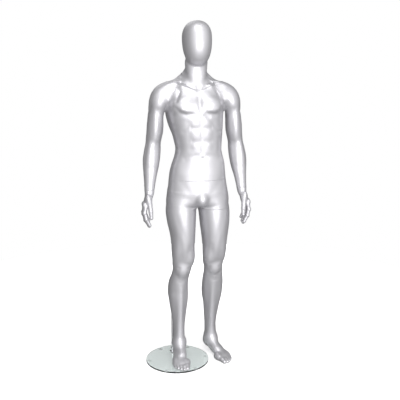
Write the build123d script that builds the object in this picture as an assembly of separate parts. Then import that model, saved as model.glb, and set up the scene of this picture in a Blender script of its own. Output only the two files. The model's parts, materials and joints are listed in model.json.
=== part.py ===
from build123d import *
import os
from math import cos, pi, radians, sin

# Full body male display mannequin on a round glass base. Millimetres, +Z up, the figure faces -Y and +X is
# its left-hand side. The origin is the centre of the base's underside. Each body piece is a hollow moulding
# with flat closed ends; a part-turn bayonet fitting joins each pair of pieces.

# ---- driving dimensions -------------------------------------------------------------------------------
BASE_RADIUS = 175.0
GLASS_THICKNESS = 8.0
PAD_HEIGHT = 2.0
GLASS_TOP = PAD_HEIGHT + GLASS_THICKNESS
MID_X = 113.0  # the figure's midline, measured from the centre of the base
SHOULDER_X = MID_X - 10.0  # the ribcage leans towards the standing leg
WALL = 3.5
END_WALL = 10.0
SEAM = 0.4  # open line between two body pieces
RUNNING = 0.05  # radial clearance of a shaft in its bore

WAIST_Z = 1036.0
THIGH_CUT_Z = 878.0
WRIST_Z = 988.0
ARMPIT_Z = 1405.0
SHOULDER_TOP_Z = 1572.0  # where the shoulder cut runs out at the foot of the neck
SHOULDER_LEAN = 28.0  # degrees the shoulder cut leans in at the top
SHOULDER_CENTRE = (119.0, 12.0, 1490.0)  # from the shoulder midline, on the cut
THIGH_CENTRE = (MID_X + 90.0, 1.0)
WRIST_CENTRE = (248.0, -25.0)  # from the shoulder midline

RIGHT_ANKLE, RIGHT_TURN = (MID_X - 100.0, 28.0), -2.0
LEFT_ANKLE, LEFT_TURN = (MID_X + 92.0, 92.0), 18.0

ROD_X, ROD_Y = -15.0, 88.0
ROD_RADIUS = 6.0
ROD_TOP_Z = 420.0
SOCKET_BOTTOM_Z, SOCKET_TOP_Z = 345.0, 424.0
FLANGE_RADIUS = 17.0
BUSH_RADIUS = 7.0

PLATE = 3.0  # thickness of every fitting plate
BAR = 4.0  # thickness of every bayonet cross bar
# plate radius, shaft radius, cross bar reach, bar width, screw circle, screws, screw size, angle to unlock
WAIST_FITTING = (55.0, 14.0, 34.0, 16.0, 45.0, 4, 1.0, 35.0)
THIGH_FITTING = (44.0, 12.0, 25.0, 13.0, 35.0, 4, 1.0, 30.0)
SHOULDER_FITTING = (35.0, 10.0, 19.0, 11.0, 27.5, 3, 1.0, 40.0)
WRIST_FITTING = (20.0, 5.0, 9.5, 6.0, 15.2, 3, 0.6, 40.0)

# ---- section tables -------------------------------------------------------------------------------------
# height, sideways centre from the figure's midline, half width, depth in front, depth behind
TORSO = [
    (1036, 0, 154, 106, 110),
    (1068, 0, 149, 104, 103),
    (1110, 2, 140, 102, 95),
    (1155, 6, 128, 101, 90),
    (1196, 6, 122, 102, 90),
    (1240, 0, 133, 107, 95),
    (1290, -6, 142, 114, 104),
    (1340, -9, 149, 121, 113),
    (1390, -10, 150, 122, 120),
    (1435, -10, 154, 108, 123),
    (1480, -10, 155, 88, 119),
    (1520, -9, 139, 68, 108),
    (1548, -9, 104, 55, 96),
    (1572, -10, 72, 48, 85),
    (1596, -5, 61, 47, 77),
    (1625, -2, 56, 50, 70),
    (1660, 0, 55, 54, 66),
    (1700, 0, 54, 50, 62),
]
PELVIS = [
    (1036, 0, 154, 106, 110),
    (1003, 2, 157, 107, 117),
    (970, 3, 162, 106, 123),
    (937, 5, 165, 102, 127),
    (910, 5, 164, 94, 122),
    (888, 4, 146, 66, 92),
]
# height, sideways centre from the midline, fore-and-aft centre, half width, half depth
RIGHT_LEG = [
    (955, -86, 2, 74, 84),
    (900, -85, 2, 82, 92),
    (860, -87, 1, 82, 92),
    (805, -85, -1, 78, 88),
    (738, -81, -3, 70, 81),
    (670, -78, -2, 63.5, 72),
    (610, -77, 2, 61, 64),
    (565, -80, 5, 57, 60),
    (533, -83, 8, 52, 57),
    (499, -90, 16, 51, 55),
    (464, -97, 29, 52, 59),
    (429, -100, 38, 54, 63),
    (385, -100, 44, 55.5, 62),
    (345, -99, 44, 54, 57),
    (300, -99, 43, 47, 49),
    (253, -99, 40, 41, 43),
    (205, -99, 36, 34, 38),
    (165, -99, 34, 32, 37),
    (130, -99, 31, 34, 41),
    (100, -100, 26, 36, 46),
    (74, -100, 24, 34, 46),
]
LEFT_LEG = [
    (955, 88, 2, 74, 84),
    (900, 90.5, 2, 82, 92),
    (860, 92.5, 1, 84.5, 92),
    (805, 94.5, -2, 82, 88),
    (738, 95, -4, 74.5, 81),
    (670, 93, -2, 64.5, 73),
    (610, 90, 4, 58, 65),
    (565, 88.5, 12, 56, 60),
    (533, 90, 18, 52, 57),
    (499, 89, 27, 53, 55),
    (464, 89.5, 43, 57, 58),
    (429, 90, 56, 58.5, 61),
    (385, 91, 67, 57.5, 60),
    (345, 91.5, 73, 54, 54),
    (300, 91.5, 78, 46, 47),
    (253, 91, 83, 40, 42),
    (205, 91, 88, 35, 37),
    (165, 91, 92, 33, 36),
    (130, 92, 92, 35, 41),
    (95, 92, 90, 36, 46),
    (66, 93, 88, 34, 46),
]
# distance ahead of the ankle, half width, underside, top, drift towards the big toe; the heel stands raised
FOOT = [
    (-56, 12, 32, 50, 0),
    (-49, 25, 23, 62, 0),
    (-33, 32, 20, 82, 0),
    (0, 34, 19, 98, 1),
    (40, 35, 19, 88, 2),
    (83, 42, 9, 62, 3),
    (121, 48, 0, 42, 4),
    (153, 48, 0, 31, 4),
    (181, 41, 1, 25, 6),
    (198, 27, 3, 19, 9),
    (206, 10, 8, 14, 11),
]
# height, sideways centre from the shoulder midline, fore-and-aft centre, half width, half depth
ARM = [
    (1550, 104, 12, 30, 28),
    (1540, 121, 12, 46, 42),
    (1523, 141, 12, 61, 53),
    (1500, 154, 11, 70, 60),
    (1470, 166, 10, 68, 64),
    (1437, 186, 11, 55, 62),
    (1405, 204, 12, 40, 58),
    (1380, 205.5, 12, 40.5, 54),
    (1350, 208, 13, 41, 52),
    (1323, 209.5, 14, 43.5, 50),
    (1260, 216, 15, 42, 45),
    (1196, 225.5, 13, 42, 42),
    (1155, 231, 8, 44, 42),
    (1100, 236.5, 0, 39.5, 39),
    (1052, 242, -11, 34, 35),
    (1010, 246, -20, 29, 31),
    (988, 248, -25, 27, 30),
]
PALM = [
    (988, 248, -25, 27, 30),
    (960, 250, -29, 24, 29),
    (940, 253, -32, 22, 31),
    (915, 260, -36, 19, 37),
    (890, 268, -38, 15, 41),
    (872, 273, -38, 12, 39),
]
# each digit: stations of (sideways, fore-and-aft, height, radius) from the knuckle to the tip
DIGITS = {
    "index": [(271, -66, 884, 10.5), (278, -72, 850, 10), (273, -76, 824, 9), (259, -77, 803, 7.5)],
    "middle": [(273, -47, 884, 10.6), (281, -49, 844, 10.5), (276, -51, 816, 9.5), (260, -52, 795, 8)],
    "ring": [(272, -27, 884, 10.5), (279, -26, 846, 10), (273, -25, 819, 9), (258, -25, 798, 7.5)],
    "little": [(268, -9, 884, 9.5), (273, -5, 852, 9), (267, -3, 829, 8), (254, -3, 811, 6.5)],
    "thumb": [(256, -54, 938, 13), (250, -72, 912, 12), (244, -82, 886, 10.5), (240, -87, 862, 9)],
}
SOLE_TRIM = 4.0  # the foot's sections run this far under its sole, which is then cut flat
HEAD_CENTRE_Z = 1730.0
HEAD_TILT = 13.0  # the chin comes forward by this many degrees
HEAD_HALF_WIDTH = 80.0
HEAD_HALF_DEPTH = 99.0

BIG = 1200.0


def write(name, shape):
    """Writes one sub-part to its own STEP file."""
    shape.label = name
    export_step(shape, f"parts/{name}.step")


def tube(outer, inner, low, high):
    """A ring about the Z axis between two heights."""
    ring = Cylinder(outer, high - low)
    if inner > 0:
        ring -= Cylinder(inner, high - low + 2)
    return Pos(0, 0, (low + high) / 2) * ring


def below(z):
    """All the space under a height."""
    return Pos(0, 0, z - BIG) * Box(2 * BIG, 2 * BIG, 2 * BIG)


def above(z):
    """All the space over a height."""
    return Pos(0, 0, z + BIG) * Box(2 * BIG, 2 * BIG, 2 * BIG)


def outline(z, x, half_width, front, back, points=12):
    """A level closed outline: a shallow half in front and another behind, meeting at the sides."""
    places = []
    for k in range(points):
        angle = 2 * pi * k / points
        depth = front if sin(angle) < 0 else back
        places.append((x + half_width * cos(angle), depth * sin(angle), z))
    return make_face(Spline(*places, periodic=True))


def trunk_skin(table, inset=0.0):
    """The trunk between its first and last heights, pulled in all round by the inset."""
    return loft([outline(z, MID_X + x, a - inset, f - inset, b - inset) for z, x, a, f, b in table])


def limb_skin(table, origin_x, inset=0.0):
    """A limb through level ellipses."""
    return loft([Plane((origin_x + x, y, z)) * Ellipse(a - inset, b - inset) for z, x, y, a, b in table])


def foot_skin(ankle, turn, sole_z):
    """A solid foot with a flat sole, turned outwards."""
    sections = []
    for ahead, a, low, high, drift in FOOT:
        bottom = low - SOLE_TRIM
        plane = Plane(origin=(drift, -ahead, (bottom + high) / 2), x_dir=(1, 0, 0), z_dir=(0, -1, 0))
        sections.append(plane * Ellipse(a, (high - bottom) / 2))
    foot = loft(sections) & Pos(0, -70, 100) * Box(200, 400, 200)
    return Pos(ankle[0], ankle[1], sole_z) * Rot(0, 0, turn) * foot


def head_skin(inset=0.0):
    """The faceless head, an egg with its narrow end at the chin."""
    crown, chin = 120 - inset, -118 + inset
    wide = HEAD_HALF_DEPTH - inset
    profile = Spline(
        (0, crown),
        (0.70 * wide, 0.74 * crown),
        (wide, 0.16 * crown),
        (0.88 * wide, 0.42 * chin),
        (0.52 * wide, 0.86 * chin),
        (0, chin),
        tangents=((1, 0), (-1, 0)),
    )
    half = make_face(Plane.XZ * (profile + Line((0, chin), (0, crown))))
    egg = scale(revolve(half, Axis.Z), by=((HEAD_HALF_WIDTH - inset) / wide, 1, 1))
    return Pos(MID_X, -2, HEAD_CENTRE_Z) * Rot(-HEAD_TILT, 0, 0) * egg


def digit(stations):
    """One finger as a chain of tapered links with round knuckles."""
    finger = None
    for (x0, y0, z0, r0), (x1, y1, z1, r1) in zip(stations, stations[1:]):
        start, end = Vector(x0, y0, z0), Vector(x1, y1, z1)
        plane = Plane(origin=start, z_dir=end - start)
        link = plane * Pos(0, 0, (end - start).length / 2) * Cone(r0, r1, (end - start).length)
        link += Pos(x1, y1, z1) * Sphere(r1)
        finger = link if finger is None else finger + link
    return finger


# ---- bayonet fittings: local +Z runs from the socket's side to the spigot's side -------------------------
def screws(fitting, face, down, grow=0.0):
    """The countersunk screws of one plate, their heads flush with its face."""
    circle, count, size = fitting[4], fitting[5], fitting[6]
    head, shank, length = 4.2 * size + grow, 2.0 * size + grow, 5.5 + 3.5 * size
    made = []
    for k in range(count):
        screw = Pos(0, 0, -length / 2) * Cylinder(shank, length)
        screw += Pos(0, 0, -1.1 * size) * Cone(shank, head, 2.2 * size)
        if grow == 0:
            screw -= Box(0.9 * size, 5 * size, 1.6 * size)
        if not down:
            screw = Rot(180, 0, 0) * screw
        made.append(Rot(0, 0, 45 + 360 * k / count) * Pos(circle, 0, face) * screw)
    return Compound(children=made)


def cut_all(solid, cutter):
    for tool in cutter.solids():
        solid -= tool
    return solid


def socket_plate(fitting):
    """The plate let into the supporting piece, with a keyhole that the cross bar drops through."""
    radius, shaft, reach, width = fitting[:4]
    plate = tube(radius, shaft + RUNNING, -PLATE, 0)
    plate -= Box(2 * reach + 1.0, width + 1.0, 3 * PLATE)
    return cut_all(plate, screws(fitting, 0, True, 0.05))


def spigot(fitting):
    """The plate let into the hanging piece, with a shaft and a cross bar turned off the keyhole."""
    radius, shaft, reach, width = fitting[:4]
    unlock = fitting[7]
    under = -PLATE - 0.3
    plate = tube(radius, 0, SEAM, SEAM + PLATE) + tube(shaft, 0, under - BAR, SEAM + 0.5)
    bar = Box(2 * reach + 2, width, BAR) & Cylinder(reach, BAR)
    plate += Rot(0, 0, unlock) * Pos(0, 0, under - BAR / 2) * bar
    return cut_all(plate, screws(fitting, SEAM, False, 0.05))


def socket_room(fitting):
    """What the socket plate, its screws and the cross bar take out of the supporting piece."""
    radius, reach = fitting[0], fitting[2]
    room = tube(radius + 0.1, 0, -PLATE, 1) + tube(reach + 1.0, 0, -END_WALL - 2, 0)
    return Compound(children=[room] + screws(fitting, 0, True, 0.05).solids())


def spigot_room(fitting):
    """What the spigot plate and its screws take out of the hanging piece."""
    room = tube(fitting[0] + 0.1, 0, SEAM - 1, SEAM + PLATE)
    return Compound(children=[room] + screws(fitting, SEAM, False, 0.05).solids())


def shoulder_plane(side):
    """Side is +1 for the figure's left and -1 for its right; the plane's normal leaves the torso."""
    x, y, z = SHOULDER_CENTRE
    lean = radians(SHOULDER_LEAN)
    normal = (side * cos(lean), 0, sin(lean))
    return Plane(origin=(SHOULDER_X + side * x, y, z), x_dir=(0, 1, 0), z_dir=normal)


def level_plane(x, y, z, up):
    return Plane(origin=(x, y, z), x_dir=(1, 0, 0), z_dir=(0, 0, 1 if up else -1))


WAIST_PLANE = level_plane(MID_X, 0, WAIST_Z, True)
THIGH_PLANE = level_plane(THIGH_CENTRE[0], THIGH_CENTRE[1], THIGH_CUT_Z, False)


def wrist_plane(side):
    return level_plane(SHOULDER_X + side * WRIST_CENTRE[0], WRIST_CENTRE[1], WRIST_Z, False)


def write_socket(name, fitting, plane):
    write(f"{name}_socket_plate", plane * socket_plate(fitting))
    write(f"{name}_socket_screws", plane * screws(fitting, 0, True))


def write_spigot(name, fitting, plane):
    write(f"{name}_spigot", plane * spigot(fitting))
    write(f"{name}_spigot_screws", plane * screws(fitting, SEAM, False))


os.makedirs("parts", exist_ok=True)

# ---- base -----------------------------------------------------------------------------------------------
rod_place = Pos(ROD_X, ROD_Y, 0)
glass = tube(BASE_RADIUS, 0, PAD_HEIGHT, GLASS_TOP)
glass = fillet(glass.edges(), 1.8)
glass -= rod_place * tube(BUSH_RADIUS + 0.1, 0, 0, 20)
write("glass_disc", glass)

write("bolt_bush", rod_place * tube(BUSH_RADIUS, 4.1, PAD_HEIGHT + 0.2, GLASS_TOP))
write("base_washer", rod_place * tube(13, 4.1, PAD_HEIGHT - 0.8, PAD_HEIGHT))
bolt = tube(7.5, 0, PAD_HEIGHT - 1.7, PAD_HEIGHT - 0.8) + tube(4, 0, PAD_HEIGHT - 1, GLASS_TOP + 16)
write("base_bolt", rod_place * bolt)
write("flange_gasket", rod_place * tube(FLANGE_RADIUS - 1, 4.1, GLASS_TOP, GLASS_TOP + 1))

flange_z = GLASS_TOP + 1
flange = tube(FLANGE_RADIUS, 0, flange_z, flange_z + 4) + tube(10.5, 0, flange_z, flange_z + 26)
flange = chamfer(flange.edges().filter_by(GeomType.CIRCLE).group_by(Axis.Z)[-1], 0.8)
flange -= tube(ROD_RADIUS + RUNNING, 0, flange_z + 5, flange_z + 40)
flange -= tube(4, 0, flange_z - 1, flange_z + 6)
grub_side = Pos(0, 0, flange_z + 20) * Rot(0, 0, 150) * Rot(0, 90, 0)
flange -= grub_side * tube(2.5, 0, 3, 12)
write("base_flange", rod_place * flange)
write("flange_grub_screw", rod_place * grub_side * (tube(2.5, 0, 6.1, 10.3) - tube(1.2, 0, 8, 12)))

rod = chamfer(tube(ROD_RADIUS, 0, flange_z + 5, ROD_TOP_Z).edges(), 1.0)
rod -= tube(4.05, 0, flange_z, GLASS_TOP + 17)
write("calf_rod", rod_place * rod)

pads = [tube(10, 0, 0, PAD_HEIGHT)]
for k in range(6):
    pads.append(Rot(0, 0, 60 * k) * Pos(BASE_RADIUS - 16, 0, 0) * tube(10, 0, 0, PAD_HEIGHT))
write("floor_pads", Compound(children=pads))

# ---- pelvis with the standing leg --------------------------------------------------------------------------


def lower_skin(inset, waist_z, cut_z):
    skin = trunk_skin(PELVIS, inset) & below(waist_z)
    skin += limb_skin(RIGHT_LEG, MID_X, inset)
    return skin + (limb_skin(LEFT_LEG[:4], MID_X, inset) & above(cut_z))


lower = lower_skin(0, WAIST_Z, THIGH_CUT_Z) + foot_skin(RIGHT_ANKLE, RIGHT_TURN, GLASS_TOP)
hollow = lower_skin(WALL, WAIST_Z - END_WALL, THIGH_CUT_Z + END_WALL) & above(160)
boss = rod_place * tube(12, 0, 180, SOCKET_TOP_Z + 6)
hollow -= boss
lower -= hollow
lower -= rod_place * tube(ROD_RADIUS + 1, 0, 60, SOCKET_BOTTOM_Z + 1)
lower -= rod_place * tube(8.5, 0, SOCKET_BOTTOM_Z, SOCKET_TOP_Z)
lower = cut_all(lower, WAIST_PLANE * socket_room(WAIST_FITTING))
lower = cut_all(lower, THIGH_PLANE * socket_room(THIGH_FITTING))
write("lower_body_shell", lower)

socket = tube(8.5, 0, SOCKET_BOTTOM_Z, SOCKET_TOP_Z) - tube(ROD_RADIUS + RUNNING, 0, 0, ROD_TOP_Z)
write("calf_socket", rod_place * socket)
write_socket("waist", WAIST_FITTING, WAIST_PLANE)
write_socket("thigh", THIGH_FITTING, THIGH_PLANE)

# ---- left leg ------------------------------------------------------------------------------------------
leg = limb_skin(LEFT_LEG, MID_X) & below(THIGH_CUT_Z - SEAM)
leg += foot_skin(LEFT_ANKLE, LEFT_TURN, 0)
leg -= limb_skin(LEFT_LEG, MID_X, WALL) & below(THIGH_CUT_Z - SEAM - END_WALL) & above(150)
leg = cut_all(leg, THIGH_PLANE * spigot_room(THIGH_FITTING))
write("left_leg_shell", leg)
write_spigot("thigh", THIGH_FITTING, THIGH_PLANE)

# ---- torso with the head, and the arms ----------------------------------------------------------------


def arm_skin(side, inset=0.0):
    """The whole arm from the top of the shoulder to the wrist."""
    table = [(z, side * x, y, a, b) for z, x, y, a, b in ARM]
    return limb_skin(table, SHOULDER_X, inset)


def outside(side, shift, low):
    """The space beyond a shoulder cut moved outwards by the shift, from a height to the top of the cut."""
    half = shoulder_plane(side) * Pos(0, 0, 300 + shift) * Box(600, 600, 600)
    return half & Pos(SHOULDER_X, 0, (low + SHOULDER_TOP_Z) / 2) * Box(1400, 600, SHOULDER_TOP_Z - low)


def upper_skin(inset):
    skin = trunk_skin(TORSO, inset)
    for side in (1, -1):
        skin += arm_skin(side, inset) & above(ARMPIT_Z)
    return skin


outer, inner = upper_skin(0), upper_skin(WALL)
torso = (outer & above(WAIST_Z + SEAM)) + head_skin()
hollow = (inner & above(WAIST_Z + SEAM + END_WALL)) + head_skin(WALL)
for side in (1, -1):
    torso -= outside(side, -SEAM, ARMPIT_Z - 60)
    hollow -= outside(side, -SEAM - END_WALL, ARMPIT_Z - 60)
torso -= hollow
for side in (1, -1):
    torso = cut_all(torso, shoulder_plane(side).offset(-SEAM) * socket_room(SHOULDER_FITTING))
torso = cut_all(torso, WAIST_PLANE * spigot_room(WAIST_FITTING))
write("torso_shell", torso)
write_spigot("waist", WAIST_FITTING, WAIST_PLANE)

for side, name in ((1, "left"), (-1, "right")):
    socket_side = shoulder_plane(side).offset(-SEAM)
    write_socket(f"{name}_shoulder", SHOULDER_FITTING, socket_side)
    write_spigot(f"{name}_shoulder", SHOULDER_FITTING, socket_side)
    shoulder = outer & outside(side, 0, ARMPIT_Z)
    arm = shoulder + (arm_skin(side) & below(ARMPIT_Z) & above(WRIST_Z))
    shoulder = inner & outside(side, END_WALL, ARMPIT_Z)
    core = shoulder + (arm_skin(side, WALL) & below(ARMPIT_Z) & above(WRIST_Z + END_WALL))
    arm -= core
    arm = cut_all(arm, socket_side * spigot_room(SHOULDER_FITTING))
    arm = cut_all(arm, wrist_plane(side) * socket_room(WRIST_FITTING))
    write(f"{name}_arm_shell", arm)
    write_socket(f"{name}_wrist", WRIST_FITTING, wrist_plane(side))
    write_spigot(f"{name}_wrist", WRIST_FITTING, wrist_plane(side))

    hand = limb_skin(PALM, 0) & below(WRIST_Z - SEAM)
    for stations in DIGITS.values():
        hand += digit(stations)
    if side < 0:
        hand = hand.mirror(Plane.YZ)
    hand = Pos(SHOULDER_X, 0, 0) * hand
    hand = cut_all(hand, wrist_plane(side) * spigot_room(WRIST_FITTING))
    write(f"{name}_hand", hand)
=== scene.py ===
import json
import math

import bmesh
import bpy
import numpy as np
from mathutils import Matrix, Vector


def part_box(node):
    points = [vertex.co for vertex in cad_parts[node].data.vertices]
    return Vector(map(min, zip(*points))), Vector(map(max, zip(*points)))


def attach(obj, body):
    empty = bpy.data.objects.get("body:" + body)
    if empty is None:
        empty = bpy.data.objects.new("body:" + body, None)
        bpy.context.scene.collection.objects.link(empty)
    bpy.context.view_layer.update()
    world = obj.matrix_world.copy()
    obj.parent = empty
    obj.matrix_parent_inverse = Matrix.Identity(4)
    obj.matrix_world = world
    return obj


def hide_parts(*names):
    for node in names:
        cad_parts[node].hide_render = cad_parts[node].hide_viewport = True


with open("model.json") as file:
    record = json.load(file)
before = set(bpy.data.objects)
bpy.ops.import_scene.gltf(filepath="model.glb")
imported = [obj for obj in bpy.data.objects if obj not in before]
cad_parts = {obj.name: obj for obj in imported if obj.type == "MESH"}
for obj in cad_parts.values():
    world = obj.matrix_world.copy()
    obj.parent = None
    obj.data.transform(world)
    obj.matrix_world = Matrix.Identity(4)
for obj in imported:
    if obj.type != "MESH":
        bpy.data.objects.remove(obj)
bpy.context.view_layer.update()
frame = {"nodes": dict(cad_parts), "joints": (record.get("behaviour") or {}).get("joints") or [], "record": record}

# A faceless male display mannequin in silver paint on a round glass base. Each moulded piece is sculpted
# here as a blend of simple masses, cut where the CAD pieces meet. Work is in millimetres, measured from the
# figure's midline, until a mesh is made. +Z is up, the figure faces -Y and +X is its left-hand side.

# ---- places, from the frame ----------------------------------------------------------------------
MM = 0.001


def span(node):
    """A CAD node's lowest corner, highest corner and centre, in millimetres of the row frame."""
    low, high = (np.array(corner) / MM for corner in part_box(node))
    return low, high, (low + high) / 2


_, waist_high, waist_middle = span("waist_socket_plate")
thigh_low, _, thigh_middle = span("thigh_socket_plate")
MIDLINE = waist_middle[0]
WAIST_Z = waist_high[2]
THIGH_Z = thigh_low[2]
glass_high = span("glass_disc")[1]
GLASS_TOP = glass_high[2]
rod_middle = span("calf_rod")[2]
socket_low, socket_high, _ = span("calf_socket")
left_spigot, right_spigot = span("left_shoulder_spigot")[2], span("right_shoulder_spigot")[2]
CHEST = (left_spigot[0] + right_spigot[0]) / 2 - MIDLINE  # the ribcage stands a little to one side
SEAM = span("waist_spigot")[1][2] - WAIST_Z - 3.0
BODY_STEP, LIMB_STEP, HAND_STEP = 3.3, 2.8, 1.6
ARMPIT_Z = 1405.0


def joint(name):
    """A joint's place from the midline, in millimetres, and its axis."""
    for entry in frame["joints"]:
        if entry["name"] == name:
            place = np.array(entry["pos_m"], float) / MM - (MIDLINE, 0, 0)
            return place, np.array(entry["axis"], float)
    raise KeyError(name)


# ---- section tables: height, x, y, half width, depth in front, depth behind ----------------------
TRUNK = [
    (888, 5, 5, 128, 66, 76),
    (903, 5.5, 4, 152, 84, 96),
    (920, 5, 3, 163, 93, 104),
    (937, 5, 2, 165, 96, 108),
    (970, 3, 0, 162, 98, 106),
    (1003, 2, 0, 157, 98, 104),
    (1036, 1, 0, 153, 98, 98),
    (1068, 1, 0, 149, 98, 92),
    (1110, 4, 0, 140, 97, 88),
    (1155, 7, 0, 128, 97, 86),
    (1196, 7, 0, 122, 98, 88),
    (1240, 4, 0, 127, 101, 93),
    (1290, -1, 0, 135, 105, 102),
    (1340, -6, 0, 142, 108, 110),
    (1390, -10, 0, 148.5, 109, 116),
    (1435, -10, 0, 151, 102, 118),
    (1480, -10, 0, 150, 84, 114),
    (1515, -10, 4, 132, 62, 100),
    (1545, -9, 12, 92, 45, 72),
    (1566, -7, 18, 52, 36, 46),
]
NECK = [
    (1490, -6, 16, 58, 58, 60),
    (1540, -5, 18, 56, 56, 58),
    (1580, -4, 14, 53, 50, 57),
    (1620, -3, 10, 52.5, 46, 58),
    (1660, -1, 10, 53, 42, 62),
    (1700, 0, 12, 53, 40, 62),
]
RIGHT_LEG = [
    (960, -80, 4, 62, 72, 70),
    (900, -86, 4, 80, 90, 88),
    (860, -88, 2, 81.5, 90, 92),
    (805, -86, -1, 77.5, 87, 88),
    (738, -80.5, -3, 69, 80, 80),
    (670, -76.5, -2, 62, 71, 71),
    (610, -76, 2, 59, 62, 64),
    (565, -80, 5, 56, 56, 58),
    (533, -83, 8, 51, 53, 54),
    (499, -90, 16, 50, 50, 54),
    (464, -97, 29, 52, 53, 60),
    (429, -100, 38, 54, 54, 66),
    (385, -100, 44, 55, 54, 65),
    (345, -99, 44, 53, 51, 60),
    (300, -99, 43, 47, 46, 51),
    (253, -99, 40, 40, 41, 44),
    (205, -99, 36, 34, 36, 38),
    (165, -99, 34, 31.5, 35, 36),
    (130, -99, 31, 32, 38, 38),
    (98, -99, 28, 33, 44, 40),
    (70, -99, 26, 31, 44, 40),
]
LEFT_LEG = [
    (960, 82, 4, 62, 72, 70),
    (900, 90, 4, 81, 90, 88),
    (860, 93, 2, 83.5, 90, 92),
    (805, 95, -2, 81, 87, 88),
    (738, 95.5, -4, 73.5, 80, 80),
    (670, 93, -2, 63.5, 72, 72),
    (610, 90, 4, 57.5, 63, 64),
    (565, 91, 12, 55.5, 56, 58),
    (533, 93, 18, 51, 53, 54),
    (499, 94, 27, 52, 50, 54),
    (464, 95.5, 43, 56, 53, 58),
    (429, 97, 56, 58, 54, 62),
    (385, 97.5, 67, 57, 53, 61),
    (345, 97, 73, 53.5, 49, 56),
    (300, 95, 78, 46, 45, 48),
    (253, 93, 83, 40, 40, 43),
    (205, 91, 88, 34.5, 36, 38),
    (165, 91, 92, 32, 35, 36),
    (130, 92, 93, 32.5, 39, 38),
    (90, 92, 92, 33, 44, 40),
    (60, 92, 91, 31, 44, 40),
]
# the arm's and the palm's sideways places are measured outwards from the middle of the chest
ARM = [
    (1546, 112, 12, 34, 32, 34),
    (1532, 131, 12, 50, 44, 46),
    (1512, 146, 11, 62, 54, 58),
    (1485, 158, 10, 67, 60, 64),
    (1455, 174, 10, 61, 60, 63),
    (1425, 195, 11, 45.5, 56, 59),
    (1405, 204.5, 12, 39, 54, 56),
    (1390, 205.5, 12, 39, 53, 54),
    (1350, 208, 13, 40, 49, 51),
    (1323, 209.5, 14, 42.5, 48, 50),
    (1290, 211.5, 15, 43.5, 46, 48),
    (1260, 216, 16, 42, 43, 45),
    (1228, 221, 16, 40, 40, 43),
    (1196, 225, 14, 42.5, 40, 44),
    (1155, 231, 9, 44, 42, 43),
    (1130, 234, 5, 42.5, 42, 41),
    (1100, 236.5, 0, 39.5, 39, 38),
    (1052, 242, -11, 33.5, 34, 33),
    (1010, 246, -20, 28.5, 30, 29),
    (988, 248, -25, 26.5, 29, 28),
    (960, 250, -29, 24.5, 29, 28),
    (935, 254, -32, 22, 30, 29),
]
PALM = [
    (1000, 247, -23, 27, 30, 29),
    (988, 248, -25, 26.5, 29, 28),
    (966, 249.5, -28, 24, 28.5, 27.5),
    (948, 253.5, -31, 21.5, 29, 28),
    (928, 261, -34, 18, 34, 32),
    (908, 269, -37, 14.5, 39, 37),
    (892, 273, -38, 11, 39, 36),
]
# each finger: (outwards, y, height) from the knuckle to the tip, and the radius at each
FINGERS = [
    ([(274, -66, 906), (279, -70, 870), (271, -73, 838), (254, -74, 804)], (11.5, 10.8, 10, 8.6)),
    ([(276, -46, 906), (282, -48, 866), (273, -50, 830), (254, -51, 795)], (11.8, 11.2, 10.4, 8.8)),
    ([(275, -27, 906), (281, -27, 868), (272, -27, 833), (254, -27, 799)], (11.4, 10.8, 10, 8.4)),
    ([(271, -9, 904), (275, -6, 872), (267, -5, 845), (252, -5, 815)], (10.6, 9.8, 9, 7.6)),
]
THUMB = ([(256, -54, 946), (252, -70, 914), (248, -79, 880), (246, -83, 846)], (16, 13.4, 12, 9.8))
# each toe: (towards the big toe, ahead, up) at its base, joint and tip, and the radius at each
TOES = [
    ([(29, 150, 16), (27, 172, 15), (26, 192, 11)], (14, 12.5, 11)),
    ([(8, 150, 17), (8, 178, 14), (8, 197, 8.5)], (10, 8.6, 7.8)),
    ([(-9, 144, 16), (-9, 170, 13), (-8, 188, 8)], (9.5, 8.2, 7.4)),
    ([(-25, 136, 14), (-24, 159, 11.5), (-23, 176, 7.5)], (9, 7.8, 7)),
    ([(-38, 124, 12), (-37, 145, 10), (-35, 161, 7)], (9, 7.6, 6.8)),
]
# where each ankle stands: x, y, turn outwards in degrees, height of the sole
RIGHT_FOOT = (-100, 28, -2, GLASS_TOP)
LEFT_FOOT = (93, 92, 21, 0.0)


# ---- solid fields: negative inside, with the box that each fills ---------------------------------
def curve(table, column, z):
    """A column of a table as a smooth function of height, without overshoot."""
    rows = np.array(sorted(table), float)
    heights, values = rows[:, 0], rows[:, column]
    step = np.diff(heights)
    slope = np.diff(values) / step
    tangent = np.zeros_like(values)
    same = slope[:-1] * slope[1:] > 0
    tangent[1:-1][same] = (2 * slope[:-1] * slope[1:])[same] / (slope[:-1] + slope[1:])[same]
    tangent[0], tangent[-1] = slope[0], slope[-1]
    z = np.clip(z, heights[0], heights[-1])
    i = np.clip(np.searchsorted(heights, z) - 1, 0, len(step) - 1)
    t = (z - heights[i]) / step[i]
    start = (1 + 2 * t) * (1 - t) ** 2 * values[i] + t * (1 - t) ** 2 * step[i] * tangent[i]
    end = t * t * (3 - 2 * t) * values[i + 1] + t * t * (t - 1) * step[i] * tangent[i + 1]
    return start + end


def fade(x, low, high):
    """Rises smoothly from 0 to 1 between two values."""
    t = np.clip((x - low) / (high - low), 0, 1)
    return t * t * (3 - 2 * t)


def blend(a, b, width):
    """The union of two fields, with a fillet about that wide."""
    h = np.clip(1 - np.abs(a - b) / width, 0, 1)
    return np.minimum(a, b) - h * h * width * 0.25


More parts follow.
